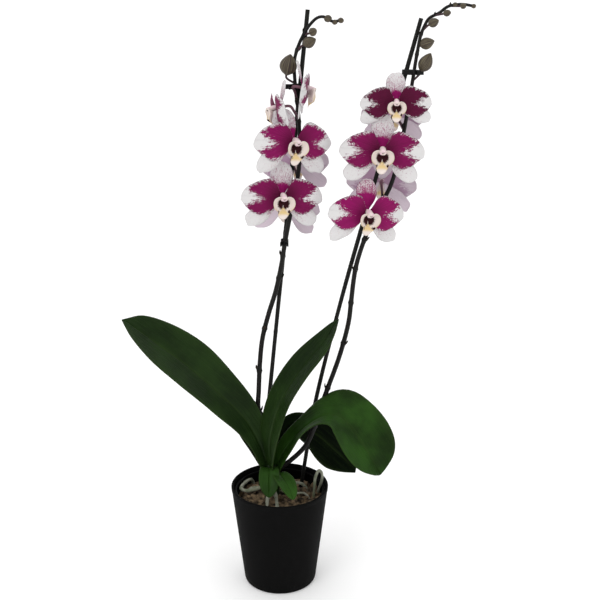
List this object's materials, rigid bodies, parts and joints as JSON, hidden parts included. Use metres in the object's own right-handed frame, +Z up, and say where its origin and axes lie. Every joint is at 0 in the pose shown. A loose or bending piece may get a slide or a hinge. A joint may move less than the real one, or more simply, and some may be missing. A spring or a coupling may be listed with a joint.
{
  "type": "potted orchid",
  "caption": "Moth orchid with arching leaves and spikes of speckled magenta-and-white flowers, clipped to stakes, in a dark round pot.",
  "frame": {"origin": "centre of the cover pot's flat foot, on the surface it stands on", "axes": "+Z up along the pot's axis, -Y the front that the flowers face, +X to the right seen from the front"},
  "size_m": [0.4309, 0.1447, 0.7529],
  "materials": {
    "cover_pot": "matte near-black moulded pot with a thin satin rim",
    "nursery_pot": "thin dark translucent-grey plastic, satin",
    "bark": "rough composted bark, matte",
    "bark_chip": "rough reddish-brown pine bark chips, matte",
    "stem": "green-brown sheathed stem, satin",
    "leaf": "dark green waxy leaf, satin, darker underneath",
    "spike": "very dark green flower stem, satin",
    "stake": "dark green-black plant stake, matte",
    "clip": "dark green moulded clip, satin",
    "root": "silvery-green velvety aerial root",
    "petal": "rich magenta over white with fine speckles, velvety",
    "lip": "cream to white waxy lip with a maroon striped throat",
    "bud": "olive-brown veined bud, satin"
  },
  "bodies": {
    "root": {"bark_bed": "bark", "bark_chip_1": "bark_chip", "bark_chip_2": "bark_chip", "bark_chip_3": "bark_chip", "bark_chip_4": "bark_chip", "bud_left_1": "bud", "bud_left_2": "bud", "bud_left_3": "bud", "bud_right_1": "bud", "bud_right_2": "bud", "bud_right_3": "bud", "bud_right_4": "bud", "bud_right_5": "bud", "clip_left_lower": "clip", "clip_left_upper": "clip", "clip_right": "clip", "cover_pot": "cover_pot", "crown_stem": "stem", "flower_spike_left": "spike", "flower_spike_right": "spike", "leaf_arching_right": "leaf", "leaf_big_left": "leaf", "leaf_front_right_small": "leaf", "leaf_front_small": "leaf", "leaf_low_left": "leaf", "leaf_rear_right": "leaf", "leaf_upright": "leaf", "lip_left_1": "lip", "lip_left_2": "lip", "lip_left_3": "lip", "lip_left_4": "lip", "lip_left_5": "lip", "lip_left_6": "lip", "lip_right_1": "lip", "lip_right_2": "lip", "lip_right_3": "lip", "lip_right_4": "lip", "lip_right_5": "lip", "nursery_pot": "nursery_pot", "root_front_left": "root", "root_front_right": "root", "root_left_loop": "root", "root_left_short": "root", "root_rear_right": "root", "root_right_arch": "root", "root_thin_right": "root", "stake_left": "stake", "stake_right": "stake", "tepals_left_1": "petal", "tepals_left_2": "petal", "tepals_left_3": "petal", "tepals_left_4": "petal", "tepals_left_5": "petal", "tepals_left_6": "petal", "tepals_right_1": "petal", "tepals_right_2": "petal", "tepals_right_3": "petal", "tepals_right_4": "petal", "tepals_right_5": "petal"}
  },
  "joints": []
}
